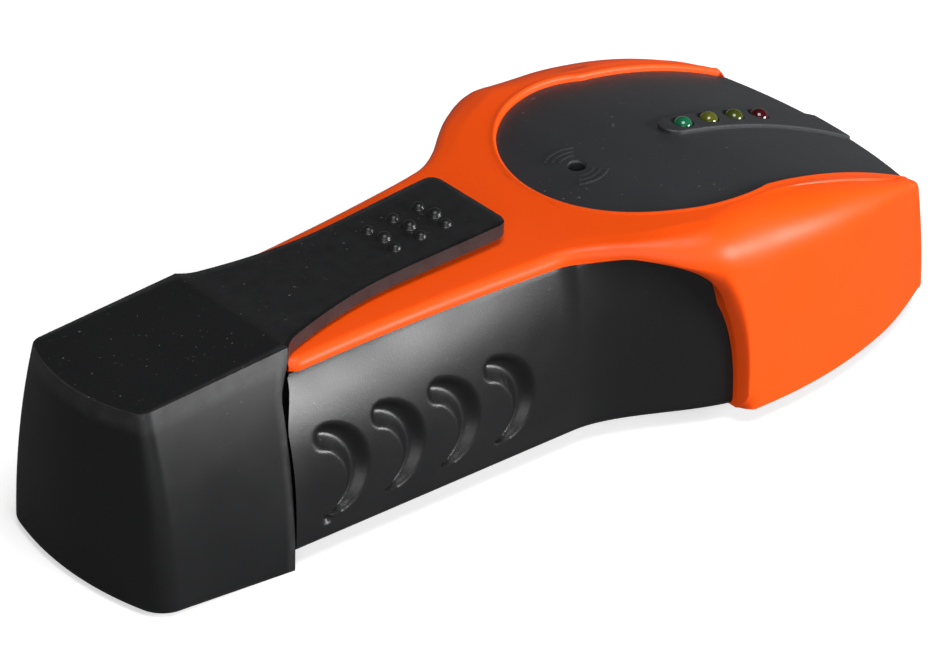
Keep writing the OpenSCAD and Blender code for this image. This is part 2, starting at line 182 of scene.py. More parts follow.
def addDetail(piece, bm, sharpAngle):
    # small raised shapes that join the mesh of a finished piece
    toMetres(bm)
    bm.from_mesh(piece.data)
    bm.to_mesh(piece.data)
    bm.free()
    piece.data.shade_smooth()
    piece.data.set_sharp_from_angle(angle=math.radians(sharpAngle))


def stand(piece, bodyName, slotName, *replaced):
    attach(piece, bodyName)
    if replaced:
        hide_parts(*replaced)


# materials

def groupWith(name, inputs, outputs):
    group = bpy.data.node_groups.new(name, "ShaderNodeTree")
    for label, kind, value in inputs:
        socket = group.interface.new_socket(name=label, in_out="INPUT", socket_type=kind)
        if value is not None:
            socket.default_value = value
    for label, kind in outputs:
        group.interface.new_socket(name=label, in_out="OUTPUT", socket_type=kind)
    return group, group.nodes.new("NodeGroupInput"), group.nodes.new("NodeGroupOutput")


def node(tree, kind, **values):
    # in_2=5.0 sets the node's input of that number
    made = tree.nodes.new(kind)
    for key, value in values.items():
        if key.startswith("in_"):
            made.inputs[int(key[3:])].default_value = value
        else:
            setattr(made, key, value)
    return made


def makeMouldGrain():
    # fine spark-eroded texture with slow changes in gloss
    group, given, out = groupWith(
        "mouldGrain",
        [("Grain Scale", "NodeSocketFloat", 5200.0), ("Depth", "NodeSocketFloat", 0.3),
         ("Gloss Low", "NodeSocketFloat", 0.3), ("Gloss High", "NodeSocketFloat", 0.42)],
        [("Normal", "NodeSocketVector"), ("Roughness", "NodeSocketFloat"), ("Speck", "NodeSocketFloat")])
    link = group.links.new
    place = node(group, "ShaderNodeTexCoord")
    fine = node(group, "ShaderNodeTexNoise", in_3=2.0, in_4=0.6)
    link(place.outputs["Object"], fine.inputs["Vector"])
    link(given.outputs["Grain Scale"], fine.inputs["Scale"])
    slow = node(group, "ShaderNodeTexNoise", in_2=70.0, in_3=4.0)
    link(place.outputs["Object"], slow.inputs["Vector"])
    bump = node(group, "ShaderNodeBump")
    bump.inputs["Distance"].default_value = 0.00004
    link(given.outputs["Depth"], bump.inputs["Strength"])
    link(fine.outputs[0], bump.inputs["Height"])
    spread = node(group, "ShaderNodeMapRange", in_1=0.35, in_2=0.65)
    link(slow.outputs[0], spread.inputs["Value"])
    link(given.outputs["Gloss Low"], spread.inputs["To Min"])
    link(given.outputs["Gloss High"], spread.inputs["To Max"])
    link(bump.outputs["Normal"], out.inputs["Normal"])
    link(spread.outputs["Result"], out.inputs["Roughness"])
    link(fine.outputs[0], out.inputs["Speck"])
    return group


def makeEdgeWear():
    # mask of the outer edges, broken up by noise
    group, given, out = groupWith(
        "edgeWear",
        [("Start", "NodeSocketFloat", 0.52), ("End", "NodeSocketFloat", 0.62),
         ("Amount", "NodeSocketFloat", 0.3)],
        [("Mask", "NodeSocketFloat")])
    link = group.links.new
    shape = node(group, "ShaderNodeNewGeometry")
    edge = node(group, "ShaderNodeMapRange")
    link(shape.outputs["Pointiness"], edge.inputs["Value"])
    link(given.outputs["Start"], edge.inputs["From Min"])
    link(given.outputs["End"], edge.inputs["From Max"])
    place = node(group, "ShaderNodeTexCoord")
    patchy = node(group, "ShaderNodeTexNoise", in_2=420.0, in_3=5.0)
    link(place.outputs["Object"], patchy.inputs["Vector"])
    share = node(group, "ShaderNodeMath", operation="MULTIPLY")
    link(edge.outputs["Result"], share.inputs[0])
    link(patchy.outputs[0], share.inputs[1])
    whole = node(group, "ShaderNodeMath", operation="MULTIPLY")
    link(share.outputs[0], whole.inputs[0])
    link(given.outputs["Amount"], whole.inputs[1])
    link(whole.outputs[0], out.inputs["Mask"])
    return group


def makeDust():
    # sparse pale lint that settles on faces that look up
    group, given, out = groupWith(
        "dust",
        [("Amount", "NodeSocketFloat", 0.2)],
        [("Mask", "NodeSocketFloat")])
    link = group.links.new
    place = node(group, "ShaderNodeTexCoord")
    lint = node(group, "ShaderNodeTexNoise", in_2=1300.0, in_3=3.0)
    link(place.outputs["Object"], lint.inputs["Vector"])
    sparse = node(group, "ShaderNodeMapRange", in_1=0.69, in_2=0.78)
    link(lint.outputs[0], sparse.inputs["Value"])
    shape = node(group, "ShaderNodeNewGeometry")
    parts = node(group, "ShaderNodeSeparateXYZ")
    link(shape.outputs["Normal"], parts.inputs[0])
    upward = node(group, "ShaderNodeMath", operation="MULTIPLY", use_clamp=True)
    link(parts.outputs["Z"], upward.inputs[0])
    link(sparse.outputs["Result"], upward.inputs[1])
    whole = node(group, "ShaderNodeMath", operation="MULTIPLY")
    link(upward.outputs[0], whole.inputs[0])
    link(given.outputs["Amount"], whole.inputs[1])
    link(whole.outputs[0], out.inputs["Mask"])
    return group


mouldGrain = makeMouldGrain()
edgeWear = makeEdgeWear()
dustLint = makeDust()


def finish(name, colour, shade, gloss, grain=5200.0, depth=0.3, metallic=0.0, wear=None, dust=0.0,
           **sockets):
    # colour and shade are the two tones that the surface wanders between, gloss its two roughness
    # values, and wear the tone of the rubbed edges with their share
    material = bpy.data.materials.new(name)
    material.use_nodes = True
    tree = material.node_tree
    link = tree.links.new
    shader = tree.nodes["Principled BSDF"]
    shader.inputs["Metallic"].default_value = metallic
    for label, value in sockets.items():
        shader.inputs[label.replace("_", " ")].default_value = value
    surface = node(tree, "ShaderNodeGroup", node_tree=mouldGrain)
    surface.inputs["Grain Scale"].default_value = grain
    surface.inputs["Depth"].default_value = depth
    surface.inputs["Gloss Low"].default_value = gloss[0]
    surface.inputs["Gloss High"].default_value = gloss[1]
    tone = node(tree, "ShaderNodeMix", data_type="RGBA")
    tone.inputs["A"].default_value = (*shade, 1)
    tone.inputs["B"].default_value = (*colour, 1)
    link(surface.outputs["Speck"], tone.inputs["Factor"])
    last = tone.outputs["Result"]
    if wear:
        worn = node(tree, "ShaderNodeGroup", node_tree=edgeWear)
        worn.inputs["Amount"].default_value = wear[1]
        rub = node(tree, "ShaderNodeMix", data_type="RGBA")
        rub.inputs["B"].default_value = (*wear[0], 1)
        link(worn.outputs["Mask"], rub.inputs["Factor"])
        link(last, rub.inputs["A"])
        last = rub.outputs["Result"]
    if dust:
        lint = node(tree, "ShaderNodeGroup", node_tree=dustLint)
        lint.inputs["Amount"].default_value = dust
        dusty = node(tree, "ShaderNodeMix", data_type="RGBA")
        dusty.inputs["B"].default_value = (0.5, 0.5, 0.48, 1)
        link(lint.outputs["Mask"], dusty.inputs["Factor"])
        link(last, dusty.inputs["A"])
        last = dusty.outputs["Result"]
    link(last, shader.inputs["Base Color"])
    link(surface.outputs["Roughness"], shader.inputs["Roughness"])
    link(surface.outputs["Normal"], shader.inputs["Normal"])
    return material


orangePlastic = finish(
    "orangePlastic", (1.0, 0.092, 0.0028), (0.96, 0.083, 0.0024), (0.38, 0.48), 3800.0, 0.12,
    wear=((1.0, 0.25, 0.06), 0.3), Specular_IOR_Level=0.3)
blackPlastic = finish(
    "blackPlastic", (0.010, 0.0103, 0.0112), (0.008, 0.0082, 0.009), (0.3, 0.38), 5200.0, 0.6,
    wear=((0.1, 0.1, 0.105), 0.3), dust=0.25, Specular_IOR_Level=0.42)
coverPlastic = finish(
    "coverPlastic", (0.011, 0.0114, 0.0122), (0.008, 0.0083, 0.009), (0.3, 0.37), 5200.0, 0.4,
    wear=((0.1, 0.1, 0.105), 0.35), dust=0.25, Specular_IOR_Level=0.38)
panelPlastic = finish(
    "panelPlastic", (0.029, 0.0307, 0.0345), (0.024, 0.0254, 0.0285), (0.42, 0.52), 5600.0, 0.5,
    wear=((0.12, 0.12, 0.125), 0.25), dust=0.3)
tinnedMetal = finish("tinnedMetal", (0.75, 0.75, 0.77), (0.6, 0.6, 0.62), (0.22, 0.38), 2600.0, 0.2, 1.0)
screwSteel = finish("screwSteel", (0.3, 0.3, 0.31), (0.2, 0.2, 0.21), (0.3, 0.45), 2600.0, 0.3, 1.0)
copperFoil = finish("copperFoil", (0.8, 0.42, 0.22), (0.66, 0.33, 0.17), (0.25, 0.42), 1900.0, 0.3, 1.0)
goldPlate = finish("goldPlate", (0.9, 0.65, 0.25), (0.75, 0.52, 0.2), (0.2, 0.3), 2600.0, 0.2, 1.0)
palePlastic = finish("palePlastic", (0.66, 0.65, 0.6), (0.6, 0.59, 0.55), (0.35, 0.45), 4200.0, 0.3)
darkPlastic = finish("darkPlastic", (0.02, 0.02, 0.021), (0.014, 0.014, 0.015), (0.35, 0.5), 4200.0, 0.4)
blueSleeve = finish("blueSleeve", (0.03, 0.045, 0.2), (0.02, 0.03, 0.14), (0.25, 0.35), 3000.0, 0.15)
tanCeramic = finish("tanCeramic", (0.55, 0.4, 0.24), (0.46, 0.33, 0.19), (0.4, 0.55), 3000.0, 0.3)
redWire = finish("redWire", (0.55, 0.02, 0.015), (0.42, 0.015, 0.012), (0.35, 0.45), 2600.0, 0.2)
blackWire = finish("blackWire", (0.016, 0.016, 0.016), (0.011, 0.011, 0.011), (0.35, 0.45), 2600.0, 0.2)
foamPad = finish("foamPad", (0.06, 0.06, 0.06), (0.02, 0.02, 0.02), (0.85, 0.95), 1400.0, 1.0)
labelFilm = finish("labelFilm", (0.62, 0.62, 0.6), (0.56, 0.56, 0.545), (0.3, 0.38), 2600.0, 0.1)


def makeBoardMaterial():
    # solder mask over faint square-cornered copper tracks
    material = finish("boardGreen", (0.012, 0.13, 0.06), (0.008, 0.1, 0.045), (0.25, 0.35), 3000.0, 0.15)
    tree = material.node_tree
    link = tree.links.new
    place = node(tree, "ShaderNodeTexCoord")
    tracks = node(tree, "ShaderNodeTexBrick", in_4=480.0, in_5=0.09, in_6=0.0, in_7=0.0, in_8=0.9, in_9=0.3)
    link(place.outputs["Object"], tracks.inputs["Vector"])
    shader = tree.nodes["Principled BSDF"]
    plain = shader.inputs["Base Color"].links[0].from_socket
    mixed = node(tree, "ShaderNodeMix", data_type="RGBA")
    mixed.inputs["B"].default_value = (0.03, 0.22, 0.09, 1)
    link(tracks.outputs["Fac"], mixed.inputs["Factor"])
    link(plain, mixed.inputs["A"])
    link(mixed.outputs["Result"], shader.inputs["Base Color"])
    return material


boardGreen = makeBoardMaterial()


def lensMaterial(name, colour):
    # tinted epoxy, with painted shade: darker towards the foot of the lamp and lighter towards the top of
    # its dome
    material = bpy.data.materials.new(name)
    material.use_nodes = True
    tree = material.node_tree
    link = tree.links.new
    shader = tree.nodes["Principled BSDF"]
    shader.inputs["Transmission Weight"].default_value = 0.25
    shader.inputs["IOR"].default_value = 1.5
    shader.inputs["Coat Weight"].default_value = 0.6
    shader.inputs["Coat Roughness"].default_value = 0.04
    surface = node(tree, "ShaderNodeGroup", node_tree=mouldGrain)
    surface.inputs["Depth"].default_value = 0.03
    surface.inputs["Gloss Low"].default_value = 0.06
    surface.inputs["Gloss High"].default_value = 0.14
    place = node(tree, "ShaderNodeTexCoord")
    parts = node(tree, "ShaderNodeSeparateXYZ")
    link(place.outputs["Object"], parts.inputs[0])
    # painted shade: the tint darkens with lower height, towards the foot of the lamp
    foot = node(tree, "ShaderNodeMapRange", in_1=0.0355, in_2=0.0385)
    link(parts.outputs["Z"], foot.inputs["Value"])
    tone = node(tree, "ShaderNodeMix", data_type="RGBA")
    tone.inputs["A"].default_value = (*[c * 0.35 for c in colour], 1)
    tone.inputs["B"].default_value = (*colour, 1)
    link(foot.outputs["Result"], tone.inputs["Factor"])
    link(tone.outputs["Result"], shader.inputs["Base Color"])
    link(surface.outputs["Roughness"], shader.inputs["Roughness"])
    link(surface.outputs["Normal"], shader.inputs["Normal"])
    return material


print("materials made")


# orange top housing

topHousing = {
    "stripStart": -48.3,
    "stripRows": 62,
    "archRows": 74,
    "sideRows": 48,
    "cornerRows": 9,
    "noseRows": 22,
    "panelRadius": 23.0,
    "panelHalf": 22.0,
    "panelMidY": 34.6,
    "bandWidth": 3.4,      # rolled band along the arch
    "bandDepth": 2.3,
    "noseDrop": -2.6,      # how far the front wall's top lies below the roof
    # rim round the panel: distance out from its edge, height over the roof
    "lip": [(0.0, -3.0), (0.0, -1.2), (0.0, -0.45), (0.1, -0.12), (0.32, 0.12), (0.62, 0.16), (0.9, 0.02)],
    # rows past the foot of the arch: distance at the roof and at the lower edge, share of the band's depth
    "footRows": [(4.62, 0.3, 0.92), (4.8, 0.7, 0.62), (5.0, 1.15, 0.34), (5.3, 1.7, 0.1), (5.6, 2.3, 0)],
}
archCentre = (8.0, 3.0)
archSize = (22.3, 31.0)
archPower = 2.4            # roundness of the arch, 2 would be an ellipse
leadY = 10.7               # where the rim around the panel starts on the middle line


def archPoint(turn):
    # place along the arch, from its top (0) to its foot (1)
    a = math.radians(90 * (1 - turn))
    y = archCentre[0] + archSize[0] * math.cos(a) ** (2 / archPower)
    z = archCentre[1] + archSize[1] * math.sin(a) ** (2 / archPower)
    return y, z - 0.9 * (1 - smoothStep((y - 7) / 6))


def archHeight(y):
    if y < archCentre[0]:
        return mix(borderHeight(7), archPoint(0)[1], smoothStep(y - 7))
    share = min((y - archCentre[0]) / archSize[0], 1)
    z = archCentre[1] + archSize[1] * (1 - share ** archPower) ** (1 / archPower)
    return z - 0.9 * (1 - smoothStep((y - 7) / 6))


# the plan outline is walked by s: it is y along the side, then runs on round the corner and the nose
sideEnd = 74
cornerEnd = 78
noseEnd = 97


def noseBow(x):
    return body["noseY"] - 0.8 * (x / 22.25) ** 2


def footHeight(y):
    # the shells' lower edge, which rises a little at the nose
    return body["edgeHeight"] + 1.6 * smoothStep((y - 64) / 15)


def outline(s):
    if s <= sideEnd:
        y = s + 2.3 * smoothStep((s - 58) / 16)
        return Vector((topHalf(y), y))
    if s <= cornerEnd:
        t = (s - sideEnd) / (cornerEnd - sideEnd)
        a, b, c = Vector((topHalf(76.3), 76.3)), Vector((22.1, 79.5)), Vector((19.0, noseBow(19.0)))
        return a * (1 - t) ** 2 + b * (2 * t * (1 - t)) + c * t * t
    x = noseEnd - s
    return Vector((x, noseBow(x)))


def outwards(s):
    step = outline(min(s + 0.2, noseEnd)) - outline(s - 0.2)
    return Vector((step.y, -step.x)).normalized()


def lean(s, z):
    # how far the wall falls back from its foot at height z
    if s > cornerEnd:
        far = mix(4.1, 2.4, (s - cornerEnd) / (noseEnd - cornerEnd))
    else:
        far = 4.1 * smoothStep((s - 58) / 16)
    return far * max((z - 4) / 21, 0) ** 1.5


def wallPoint(s, z, inset=0.0):
    p = outline(s)
    shift = lean(s, z)
    y = min(p.y, 77)
    wide = topHalf(y - shift) / topHalf(y)
    n = outwards(s)
    return Vector((p.x * wide - n.x * inset, p.y - shift - n.y * inset, z))


def panelEdge(y):
    # where the rim's inner edge stands beside an outline point at y
    r, mid = topHousing["panelRadius"], topHousing["panelMidY"]
    if y < mid:
        a = -90 * (1 - (max(y, leadY) - leadY) / (mid - leadY))
        away = Vector((math.cos(math.radians(a)), math.sin(math.radians(a))))
        return Vector((0, mid)) + away * r, away
    along = mid + (y - mid) * (72.2 - mid) / (sideEnd - mid)
    high = along - mid
    if high < 6.71:
        away = Vector((math.sqrt(r * r - high * high), high)) / r
        return Vector((0, mid)) + away * r, away
    return Vector((topHousing["panelHalf"], along)), Vector((1, 0))


def shoulderRadius(s):
    if s < 34:
        return mix(1.7, 7.5, smoothStep((s - 4) / 30))
    return mix(7.5, 2.2, smoothStep((s - 40) / 34))


def headStations():
    # one entry per row: outline place at the roof, outline place and height at the lower edge, band depth
    rows = []
    startT = 0.0505        # where the arch takes over from the strip
    count = topHousing["archRows"]
    foot = archCentre[0] + archSize[0]
    for i in range(count + 1):
        t = mix(startT, 1, i / count)
        low, lowZ = archPoint(t)
        band = topHousing["bandDepth"] * smoothStep((t - 0.1) / 0.5)
        rows.append((low + 4.5 * t * t, low, lowZ, band))
    for past, low, share in topHousing["footRows"]:
        rows.append((foot + past, foot + low, body["edgeHeight"], topHousing["bandDepth"] * share))
    lastPast, lastLow, share = topHousing["footRows"][-1]
    count = topHousing["sideRows"]
    for i in range(1, count + 1):
        t = i / count
        low = mix(foot + lastLow, sideEnd, t)
        rows.append((mix(foot + lastPast, sideEnd, t), low, footHeight(low), 0))
    return rows


def arcStep(k, count):
    return math.radians(90 * k / count)


def sectionPoints(s, lowS, lowZ, band, start):
    # columns from the roof's inner point round the shoulder and down the wall to its foot
    edge = wallPoint(s, 30)
    n = outwards(s)
    roofZ = roofHeight(edge.y)
    radius = min(shoulderRadius(s), roofZ - lowZ - 0.4)
    top = Vector((edge.x - n.x * radius, edge.y - n.y * radius, 0))
    points = []
    for k in range(14):
        p = start.lerp(top, k / 14)
        points.append(Vector((p.x, p.y, roofHeight(p.y))))
    for k in range(9):
        a = arcStep(k, 9)
        z = roofZ - radius * (1 - math.cos(a))
        points.append(wallPoint(s, z, radius * (1 - math.sin(a))))
    bandWide = min(topHousing["bandWidth"], 0.9 * (roofZ - radius - lowZ) + 0.2)
    length = math.hypot(s - lowS, roofZ - radius - lowZ)
    for k in range(25):
        t = 1 - (1 - k / 24) ** 1.5
        here = mix(s, lowS, t)
        z = mix(roofZ - radius, lowZ, t)
        left = length * (1 - t)
        inset = band * max(0, 1 - left / bandWide) ** 1.9 if left < bandWide else 0
        points.append(wallPoint(here, z, inset))
    return points


def topSection(s, lowS, lowZ, band, start, inside):
    # the same columns, taken on under the wall and back up inside
    points = sectionPoints(s, lowS, lowZ, band, start)
    foot = points[-1]
    n = outwards(lowS)
    inner = Vector((foot.x - n.x * 2.2, foot.y - n.y * 2.2, lowZ))
    back = wallPoint(s, 30, 2.6)
    backZ = roofHeight(back.y) - 2.9
    points.append(foot.lerp(inner, 0.12))
    points.append(inner)
    for t in (0.35, 0.7, 1.0):
        points.append(Vector((mix(inner.x, back.x, t), mix(inner.y, back.y, t), mix(lowZ, backZ, t))))
    points.append(inside)
    return points


def buildTopHousing():
    bm = bmesh.new()
    strip = []
    rows = topHousing["stripRows"]
    first = topHousing["stripStart"]
    headY, headLow, headLowZ, band = headStations()[0]
    for i in range(rows + 1):
        t = i / rows
        y = mix(first, headY, t)
        if y < 7:
            lowY, lowZ = y, borderHeight(y)
        else:
            lowY = mix(7, headLow, (y - 7) / (headY - 7))
            lowZ = archHeight(lowY) if t < 1 else headLowZ
        tuck = 0.9 * (1 - min((y - first) / 1.6, 1)) ** 2          # rounded rear corner
        points = sectionPoints(y, lowY, lowZ, 0, Vector((0, y, 0)))
        points = [Vector((p.x - tuck * p.x / 14, p.y, p.z)) for p in points]
        foot = points[-1]
        points.append(Vector((foot.x - 0.3, foot.y, lowZ)))
        for k in (0.75, 0.5, 0.25, 0.1, 0):
            points.append(Vector((foot.x * k, foot.y, lowZ)))
        strip.append(points)
    across = len(strip[0]) - 1
    gridPatch(bm, across, rows, lambda u, v: strip[round(v * rows)][round(u * across)])

    head = []
    for s, lowS, lowZ, band in headStations():
        edge, away = panelEdge(s)
        lip = [Vector((edge.x + away.x * w, edge.y + away.y * w, roofHeight(edge.y + away.y * w) + h))
               for w, h in topHousing["lip"]]
        start = Vector((edge.x + away.x * 1.1, edge.y + away.y * 1.1, 0))
        if s <= leadY + 0.2:
            start = Vector((0, s, 0))
        head.append(lip + topSection(s, lowS, lowZ, band, start, lip[0]))
    corner = topHousing["cornerRows"]
    for i in range(1, corner + 1):
        t = i / corner
        s = mix(sideEnd, cornerEnd, t)
        edge = Vector((mix(22.0, 19.2, t ** 1.5), mix(72.2, 73.0, t), 0))
        drop = topHousing["noseDrop"] * smoothStep((t - 0.35) / 0.3)
        roofZ = roofHeight(mix(72.2, 74.5, t))
        head.append(noseSection(s, edge, drop, 1 - min(t / 0.5, 1), roofZ))
    nose = topHousing["noseRows"]
    for i in range(1, nose + 1):
        s = mix(cornerEnd, noseEnd, i / nose)
        x = noseEnd - s
        edge = Vector((x, 73 + 3 * (1 - (x / 22) ** 2) - 0.8, 0))
        head.append(noseSection(s, edge, topHousing["noseDrop"]))
    span = len(head) - 1
    wide = len(head[0]) - 1
    gridPatch(bm, wide, span, lambda u, v: head[round(v * span)][round(u * wide)])
    mirrorHalf(bm)
    faceOutwards(bm)
    return bm


def noseSection(s, edge, drop, rim=0.0, roofZ=roofHeight(74.5)):
    # rows of the front wall, whose top lies under the panel's front edge
    lowZ = footHeight(80)
    topZ = roofZ + drop
    n = outwards(s)
    lip = []
    for w, h in topHousing["lip"]:
        p = wallPoint(s, topZ)
        q = Vector((edge.x, edge.y, 0)).lerp(Vector((p.x - n.x, p.y - n.y, 0)), min(w, 0.9))
        z = topZ + mix(min(h, 0) * 0.1, h, rim)
        lip.append(Vector((q.x, q.y, z)))
    points = []
    radius = 1.0
    start = lip[-1]
    top = wallPoint(s, topZ, radius)
    for k in range(14):
        p = start.lerp(top, (k + 1) / 15)
        points.append(Vector((p.x, p.y, topZ)))
    for k in range(9):
        a = arcStep(k, 9)
        points.append(wallPoint(s, topZ - radius * (1 - math.cos(a)), radius * (1 - math.sin(a))))
    for k in range(25):
        t = 1 - (1 - k / 24) ** 1.5
        points.append(wallPoint(s, mix(topZ - radius, lowZ, t)))
    foot = points[-1]
    inner = wallPoint(s, lowZ, 2.2)
    points.append(foot.lerp(inner, 0.12))
    points.append(inner)
    for t in (0.35, 0.7, 1.0):
        points.append(wallPoint(s, mix(lowZ, topZ - 1.2, t), 2.2))
    points.append(lip[0])
    return lip + points


topShell = addPiece("topShell", buildTopHousing(), [orangePlastic], 50)
stand(topShell, "housing", "orange_plastic", "top_housing")
print("top shell made")


# black base housing: grip sides with finger grooves, floor and sensing plate

baseHousing = {
    "grooveCentre": (-46.3, 13.5),   # middle of the first groove's curve
    "groovePitch": 11.1,
    "grooveRadius": 7.1,
    "grooveTop": 79.0,               # angles where a groove starts and ends
    "grooveEnd": -75.0,
    "grooveHalf": 2.15,
    "grooveDepth": 1.9,
    "gripStart": -48.6,
    "plateRear": -24.0,
    "plateFront": 72.0,
    "screwPlaces": [(24.2, 40), (-24.2, 40), (0, 72.5), (11.2, -15), (-11.2, -15)],
    "labelBox": (22.6, 34.6, -4.3),
}


def grooveDepthAt(y, z):
    cy, cz = baseHousing["grooveCentre"]
    first = baseHousing["grooveTop"]
    last = baseHousing["grooveEnd"]
    deepest = 0.0
    for i in range(4):
        dy, dz = y - cy - baseHousing["groovePitch"] * i, z - cz
        if abs(dy - 3) > 9 or abs(dz) > 11:
            continue
        angle = math.degrees(math.atan2(dz, dy))
        held = min(max(angle, last), first) if dy > -4 else (first if dz > 0 else last)
        t = (first - held) / (first - last)
        pull = 1 - 0.14 * t ** 3
        r = baseHousing["grooveRadius"] * pull
        px, pz = r * math.cos(math.radians(held)), r * math.sin(math.radians(held))
        half = max(baseHousing["grooveHalf"] * (1 - t ** 3) ** 0.9 * mix(0.82, 1.0, min(t * 4, 1)), 0.3)
        share = math.hypot(dy - px, dz - pz) / half
        if share < 1.25:
            wall = (1 - smoothStep(share / 1.25)) ** 0.75
            deepest = max(deepest, baseHousing["grooveDepth"] * wall * mix(1.0, 0.45, t * t))
        if i == 0:
            tail = math.hypot((dy - 0.9) / 0.75, (dz + 6.6) / 0.95)
            if tail < 1.2:
                deepest = max(deepest, 0.7 * (1 - smoothStep((tail - 0.3) / 0.9)))
    return deepest


def gripTop(y):
    if y < 7:
        return borderHeight(y)
    # runs on a little under the orange shell
    behind = min(y - 1.2 * smoothStep((y - 8) / 10), 30.3)
    return max(archHeight(behind) + 0.7 * smoothStep((y - 7) / 4), 4.6)


def bandAt(y):
    # depth of the rolled band over the arch at y
    share = min(max((y - archCentre[0]) / archSize[0], 0), 1)
    t = 1 - math.degrees(math.acos(share ** (archPower / 2))) / 90
    return topHousing["bandDepth"] * smoothStep((t - 0.1) / 0.5)


def gripX(y, z):
    low = baseHalf(y)
    high = min(topHalf(y) - 0.3 - bandAt(y), low - mix(1.9, 0.2, smoothStep((y - 23) / 7)))
    t = min(max((z - 3) / (borderHeight(min(y, 24)) - 3.2), 0), 1)
    return high + (low - high) * (1 - t ** 2.8)


def gripRear(z):
    return -49.1 - 2.5 * smoothStep((31.2 - z) / 9)


def gripPoint(u, v):
    # u runs from the hidden top edge down the side and under the floor, v from the seam to the arch
    first = baseHousing["gripStart"]
    y = mix(first, -3, v / 0.6) if v < 0.6 else mix(-3, 31.5, 1 - (1 - (v - 0.6) / 0.4) ** 1.5)
    nearSeam = max(0, 1 - (y - first) / 4)
    topZ = gripTop(y) - 0.12
    if u < 0.03:
        x = gripX(y, topZ)
        return Vector((x - 2.4 * (1 - u / 0.03), y, topZ))
    if u < 0.86:
        t = (u - 0.03) / 0.83
        t = 0.12 * t / 0.08 if t < 0.08 else mix(0.12, 1, (t - 0.08) / 0.92)
        z = mix(topZ, 4.4, t)
        y += (gripRear(z) - first) * nearSeam
        return Vector((gripX(y, z) - grooveDepthAt(y, z), y, z))
    side = gripX(y, 4.4)
    y -= 3.0 * nearSeam
    if u < 0.92:
        a = math.radians(90 * (u - 0.86) / 0.06)
        return Vector((side - 1.4 * (1 - math.cos(a)), y, 4.4 - 1.4 * math.sin(a)))
    return Vector((mix(side - 1.4, 0, (u - 0.92) / 0.08), y, 3.0))


def innerGrip(u, v):
    # inner face of the same wall, then the floor's upper face
    y = mix(baseHousing["gripStart"], 30.6, v)
    topZ = gripTop(y) - 0.12
    z = mix(topZ, 4.8, u / 0.7) if u < 0.7 else 4.8
    side = min(gripX(y, z), gripX(y, topZ) + 0.5 * (topZ - z)) - 2.4
    if u < 0.7:
        return Vector((side, y, z))
    return Vector((mix(side, 0, (u - 0.7) / 0.3), y, z))


def plateHalf(y):
    return (baseHalf(y) if y < 36 else topHalf(y)) - 6


def headFloorPoint(u, v):
    y = mix(30.4, 76.2, v)
    x = mix(-1, 1, u)
    return Vector((x * (topHalf(min(y, 77)) - 2.6), y + 1.3 * (1 - x * x) * v ** 3, 4.9))


def sensingPlatePoint(u, v):
    y = mix(baseHousing["plateRear"], baseHousing["plateFront"], v)
    far = max(0, (abs(2 * v - 1) - 0.9) / 0.1)
    half = plateHalf(y) - 2.5 * (1 - math.sqrt(max(1 - far * far, 0)))
    return Vector((mix(-1, 1, u) * half, y, 3.4))


def drawDown(bm, bottom, edge):
    # a flat plan becomes a plate, with its lower edge rounded by edge, or bent up at the nose if edge is 0
    grown = bmesh.ops.extrude_face_region(bm, geom=bm.faces[:], use_keep_orig=True)
    for vert in grown["geom"]:
        if isinstance(vert, bmesh.types.BMVert):
            vert.co.z = bottom
    if not edge:
        for vert in bm.verts:
            vert.co.z += footHeight(vert.co.y) - body["edgeHeight"]
    faceOutwards(bm)
    if edge:
        low = [e for e in bm.edges if all(v.co.z < bottom + 0.01 for v in e.verts)
               and any(abs(f.normal.z) < 0.5 for f in e.link_faces)]
        bmesh.ops.bevel(bm, geom=low, offset=edge, segments=3, profile=0.5, affect="EDGES", material=-1)


def buildFloor():
    # floor under the head and the raised sensing plate
    bm = bmesh.new()
    gridPatch(bm, 24, 40, headFloorPoint)
    drawDown(bm, 3.0, 0)
    floorPiece = addPiece("floorPart", bm, [])
    bm = bmesh.new()
    gridPatch(bm, 20, 44, sensingPlatePoint)
    drawDown(bm, 0.0, 0.7)
    platePiece = addPiece("platePart", bm, [])
    bm = bmesh.new()
    for x, y in baseHousing["screwPlaces"]:
        turned(bm, [(0, 9), (1.5, 9), (1.5, 3.0), (2.7, 3.0), (2.7, -2), (0, -2)], 32, (x, y, 0))
    wide, long, rear = baseHousing["labelBox"]
    made = bmesh.ops.create_cube(bm, size=1)
    bmesh.ops.scale(bm, vec=(wide, long, 1.2), verts=made["verts"])
    bmesh.ops.translate(bm, vec=(0, rear + long / 2, -0.4), verts=made["verts"])
    combine(platePiece, addPiece("cutter", bm, []), "DIFFERENCE")
    return floorPiece, platePiece


def buildBaseHousing():
    bm = bmesh.new()
    gridPatch(bm, 104, 230, gripPoint)
    gridPatch(bm, 24, 60, innerGrip)
    mirrorHalf(bm)
    faceOutwards(bm)
    toMetres(bm)
    for part in buildFloor():
        bm.from_mesh(part.data)
        bpy.data.objects.remove(part)
    # collar that carries the tail cover
    collar = bmesh.new()
    blockGrid(collar, 11)
    for vert in collar.verts:
        a, b, c = vert.co
        z = mix(3.1, 31, (c + 1) / 2)
        vert.co = (a * (17.65 - 0.168 * z), mix(-55, -47.5, (b + 1) / 2), z)
    ends = [f for f in collar.faces if abs(f.normal.y) > 0.9]
    bmesh.ops.delete(collar, geom=ends, context="FACES")
    sleeve = addPiece("collarPart", collar, [])
    thick = sleeve.modifiers.new("wall", "SOLIDIFY")
    thick.thickness = 0.0012
    thick.offset = -1
    applyModifiers(sleeve)
    bm.from_mesh(sleeve.data)
    bpy.data.objects.remove(sleeve)
    bmesh.ops.scale(bm, vec=(1000, 1000, 1000), verts=bm.verts[:])
    return bm


baseShell = addPiece("baseShell", buildBaseHousing(), [blackPlastic], 42)
stand(baseShell, "housing", "black_plastic", "base_housing")
print("base shell made")


# tail cover and press tongue in one moulding

